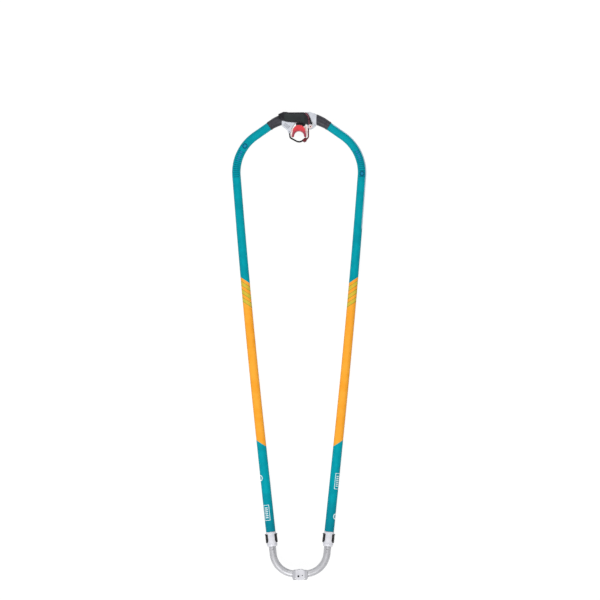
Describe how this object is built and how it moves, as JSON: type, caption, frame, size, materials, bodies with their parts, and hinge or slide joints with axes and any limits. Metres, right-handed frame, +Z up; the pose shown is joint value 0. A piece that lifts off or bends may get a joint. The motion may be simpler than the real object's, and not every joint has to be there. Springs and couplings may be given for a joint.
{
  "type": "windsurf wishbone boom",
  "caption": "Wishbone boom with padded bent arms, a lever-and-strap mast clamp and a telescopic tail with side clips.",
  "frame": {"origin": "axis of the mast in the closed clamp, at the mid-height of the boom", "axes": "+Z up along the mast, +Y from the tail end to the head along the boom, +X to the right seen from above"},
  "size_m": [0.48, 1.6737, 0.084],
  "materials": {
    "grip_teal": "closed-cell foam, matt, fine embossed grain",
    "sleeve_black": "moulded, fine spark-eroded grain",
    "casing_white": "moulded, satin",
    "lever_black": "glass-filled nylon, fine grain",
    "jaw_red": "moulded elastomer, satin",
    "cheek_pale": "moulded, satin",
    "tube_aluminium": "drawn, clear anodised",
    "casing_grey": "glass-filled nylon, light grey",
    "collar_white": "glass-filled nylon, fine grain",
    "clip_black": "moulded, satin",
    "steel": "stainless, turned",
    "strap_black": "woven webbing, coated",
    "strap_maroon": "moulded",
    "cap_pale": "moulded, polished",
    "liner_black": "acetal"
  },
  "bodies": {
    "root": {"left_arm_tube": "tube_aluminium", "right_arm_tube": "tube_aluminium", "front_joiner": "tube_aluminium", "left_grip": "grip_teal", "right_grip": "grip_teal", "left_front_sleeve": "sleeve_black", "right_front_sleeve": "sleeve_black", "upper_head_shell": "casing_white", "lower_head_shell": "casing_white", "head_screws": "steel", "lever_pivot_screws": "steel", "strap_anchor_pin": "steel", "pivot_caps": "cap_pale", "jaw_screws": "steel", "mast_jaw": "jaw_red", "jaw_carrier": "lever_black", "left_jaw_cheek": "cheek_pale", "right_jaw_cheek": "cheek_pale", "left_collar": "collar_white", "right_collar": "collar_white", "left_collar_liner": "liner_black", "right_collar_liner": "liner_black", "clip_hinge_pins": "steel"},
    "lever": {"lever": "lever_black", "lever_hook_pin": "steel"},
    "strap": {"clamp_strap": "strap_black", "strap_rivets": "steel", "tension_band": "strap_maroon", "strap_end": "strap_maroon"},
    "tail_end": {"tail_fitting_upper": "casing_grey", "tail_fitting_lower": "casing_grey", "fitting_screws": "steel", "roller_axle": "steel"},
    "roller": {"outhaul_roller": "liner_black"},
    "left_leg": {"left_tail_tube": "tube_aluminium", "left_leg_plug": "liner_black"},
    "right_leg": {"right_tail_tube": "tube_aluminium", "right_leg_plug": "liner_black"},
    "left_inner_clip": {"left_inner_clip": "clip_black", "left_inner_lock_pin": "steel"},
    "left_outer_clip": {"left_outer_clip": "clip_black", "left_outer_lock_pin": "steel"},
    "right_inner_clip": {"right_inner_clip": "clip_black", "right_inner_lock_pin": "steel"},
    "right_outer_clip": {"right_outer_clip": "clip_black", "right_outer_lock_pin": "steel"}
  },
  "joints": [
    {"name": "lever_swing", "type": "hinge", "parent": "root", "child": "lever", "pos_m": [0.0404, 0.0336, 0], "axis": [0, 0, -1], "range_deg": [0, 75]},
    {"name": "strap_swing", "type": "hinge", "parent": "root", "child": "strap", "pos_m": [-0.034, 0.0145, 0], "axis": [0, 0, -1], "range_deg": [0, 90]},
    {"name": "tail_slide", "type": "slide", "parent": "root", "child": "tail_end", "axis": [0, -1, 0], "range_m": [0, 0.18]},
    {"name": "left_leg_slide", "type": "slide", "parent": "root", "child": "left_leg", "axis": [0.1037, -0.9946, 0], "range_m": [0, 0.1812]},
    {"name": "right_leg_slide", "type": "slide", "parent": "root", "child": "right_leg", "axis": [-0.1037, -0.9946, 0], "range_m": [0, 0.1812]},
    {"name": "left_inner_clip_swing", "type": "hinge", "parent": "root", "child": "left_inner_clip", "pos_m": [-0.08337, -1.42064, 0], "axis": [0, 0, 1], "range_deg": [0, 35]},
    {"name": "left_outer_clip_swing", "type": "hinge", "parent": "root", "child": "left_outer_clip", "pos_m": [-0.12356, -1.42483, 0], "axis": [0, 0, -1], "range_deg": [0, 35]},
    {"name": "right_inner_clip_swing", "type": "hinge", "parent": "root", "child": "right_inner_clip", "pos_m": [0.08337, -1.42064, 0], "axis": [0, 0, -1], "range_deg": [0, 35]},
    {"name": "right_outer_clip_swing", "type": "hinge", "parent": "root", "child": "right_outer_clip", "pos_m": [0.12356, -1.42483, 0], "axis": [0, 0, 1], "range_deg": [0, 35]},
    {"name": "roller_spin", "type": "hinge", "parent": "tail_end", "child": "roller", "pos_m": [0, -1.5818, 0], "axis": [0, 0, 1], "continuous": true}
  ],
  "couplings": [
    {"joint": "left_leg_slide", "follows": "tail_slide", "ratio": 1.0054},
    {"joint": "right_leg_slide", "follows": "tail_slide", "ratio": 1.0054}
  ]
}
